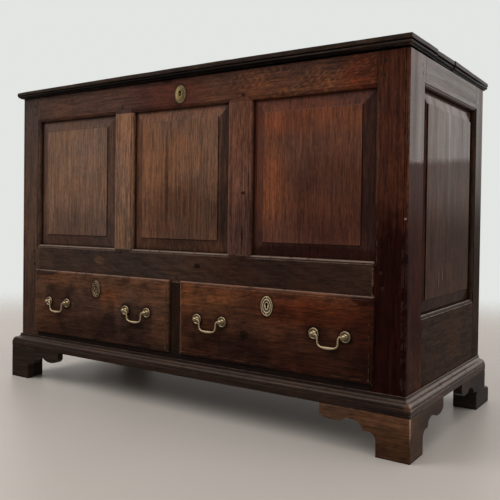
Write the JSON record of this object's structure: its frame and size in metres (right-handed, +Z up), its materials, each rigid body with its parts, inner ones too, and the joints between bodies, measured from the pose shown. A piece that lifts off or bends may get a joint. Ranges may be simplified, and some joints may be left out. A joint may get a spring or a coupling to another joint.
{
  "type": "mule chest",
  "caption": "Panelled oak mule chest: a hinged lid over a deep chest space, two lipped drawers with brass bail handles below, moulded plinth and shaped bracket feet.",
  "frame": {"origin": "on the floor, under the middle of the bounding box", "axes": "+X to the right along the front, -Y out of the front, +Z up"},
  "size_m": [1.292, 0.6076, 0.8848],
  "materials": {
    "oak_frame": "waxed oak frame, worn satin",
    "oak_panel": "waxed oak panels, worn satin",
    "oak_dark": "dark waxed oak",
    "oak_drawer": "waxed oak drawer fronts, reddish",
    "oak_inside": "dry unfinished oak",
    "brass": "aged dull brass",
    "iron": "blacked wrought iron"
  },
  "bodies": {
    "case": {"front_left_post": "oak_frame", "front_right_post": "oak_frame", "front_top_rail": "oak_frame", "front_middle_rail": "oak_frame", "front_bottom_rail": "oak_frame", "left_front_muntin": "oak_frame", "right_front_muntin": "oak_frame", "drawer_divider": "oak_frame", "left_side_top_rail": "oak_frame", "left_side_bottom_rail": "oak_frame", "right_side_top_rail": "oak_frame", "right_side_bottom_rail": "oak_frame", "front_right_foot": "oak_frame", "left_front_panel": "oak_panel", "centre_front_panel": "oak_panel", "right_front_panel": "oak_panel", "left_side_panel": "oak_panel", "right_side_panel": "oak_panel", "rear_left_post": "oak_dark", "rear_right_post": "oak_dark", "plinth_moulding": "oak_dark", "front_left_foot": "oak_dark", "rear_left_foot": "oak_dark", "rear_right_foot": "oak_dark", "back_boards": "oak_inside", "chest_floor": "oak_inside", "drawer_bed": "oak_inside", "chest_escutcheon": "brass", "chest_lock_case": "iron", "left_hinge_case_strap": "iron", "right_hinge_case_strap": "iron"},
    "lid": {"lid": "oak_dark", "lid_link_plate": "iron", "left_hinge_lid_strap": "iron", "right_hinge_lid_strap": "iron"},
    "left_drawer": {"left_drawer_front": "oak_drawer", "left_drawer_box": "oak_inside", "left_drawer_bottom": "oak_inside", "left_drawer_escutcheon": "brass", "left_drawer_lock_case": "iron", "left_drawer_left_bail_left_post": "brass", "left_drawer_left_bail_right_post": "brass", "left_drawer_right_bail_left_post": "brass", "left_drawer_right_bail_right_post": "brass"},
    "left_drawer_lock_bolt": {"left_drawer_lock_bolt": "brass"},
    "left_drawer_left_bail": {"left_drawer_left_bail": "brass"},
    "left_drawer_right_bail": {"left_drawer_right_bail": "brass"},
    "right_drawer": {"right_drawer_front": "oak_drawer", "right_drawer_box": "oak_inside", "right_drawer_bottom": "oak_inside", "right_drawer_escutcheon": "brass", "right_drawer_lock_case": "iron", "right_drawer_left_bail_left_post": "brass", "right_drawer_left_bail_right_post": "brass", "right_drawer_right_bail_left_post": "brass", "right_drawer_right_bail_right_post": "brass"},
    "right_drawer_lock_bolt": {"right_drawer_lock_bolt": "brass"},
    "right_drawer_left_bail": {"right_drawer_left_bail": "brass"},
    "right_drawer_right_bail": {"right_drawer_right_bail": "brass"},
    "chest_lock_bolt": {"chest_lock_bolt": "brass"}
  },
  "joints": [
    {"name": "lid_hinge", "type": "hinge", "parent": "case", "child": "lid", "pos_m": [0, 0.28325, 0.8545], "axis": [-1, 0, 0], "range_deg": [0, 95]},
    {"name": "left_drawer_slide", "type": "slide", "parent": "case", "child": "left_drawer", "axis": [0, -1, 0], "range_m": [0, 0.34]},
    {"name": "left_drawer_lock_throw", "type": "slide", "parent": "left_drawer", "child": "left_drawer_lock_bolt", "axis": [0, 0, 1], "range_m": [0, 0.008]},
    {"name": "left_drawer_left_bail_pivot", "type": "hinge", "parent": "left_drawer", "child": "left_drawer_left_bail", "pos_m": [-0.4475, -0.29775, 0.2436], "axis": [-1, 0, 0], "range_deg": [-10, 120]},
    {"name": "left_drawer_right_bail_pivot", "type": "hinge", "parent": "left_drawer", "child": "left_drawer_right_bail", "pos_m": [-0.1325, -0.29775, 0.2436], "axis": [-1, 0, 0], "range_deg": [-10, 120]},
    {"name": "right_drawer_slide", "type": "slide", "parent": "case", "child": "right_drawer", "axis": [0, -1, 0], "range_m": [0, 0.34]},
    {"name": "right_drawer_lock_throw", "type": "slide", "parent": "right_drawer", "child": "right_drawer_lock_bolt", "axis": [0, 0, 1], "range_m": [0, 0.008]},
    {"name": "right_drawer_left_bail_pivot", "type": "hinge", "parent": "right_drawer", "child": "right_drawer_left_bail", "pos_m": [0.1175, -0.29775, 0.2436], "axis": [-1, 0, 0], "range_deg": [-10, 120]},
    {"name": "right_drawer_right_bail_pivot", "type": "hinge", "parent": "right_drawer", "child": "right_drawer_right_bail", "pos_m": [0.452, -0.29775, 0.2436], "axis": [-1, 0, 0], "range_deg": [-10, 120]},
    {"name": "chest_lock_throw", "type": "slide", "parent": "case", "child": "chest_lock_bolt", "axis": [1, 0, 0], "range_m": [0, 0.016]}
  ]
}
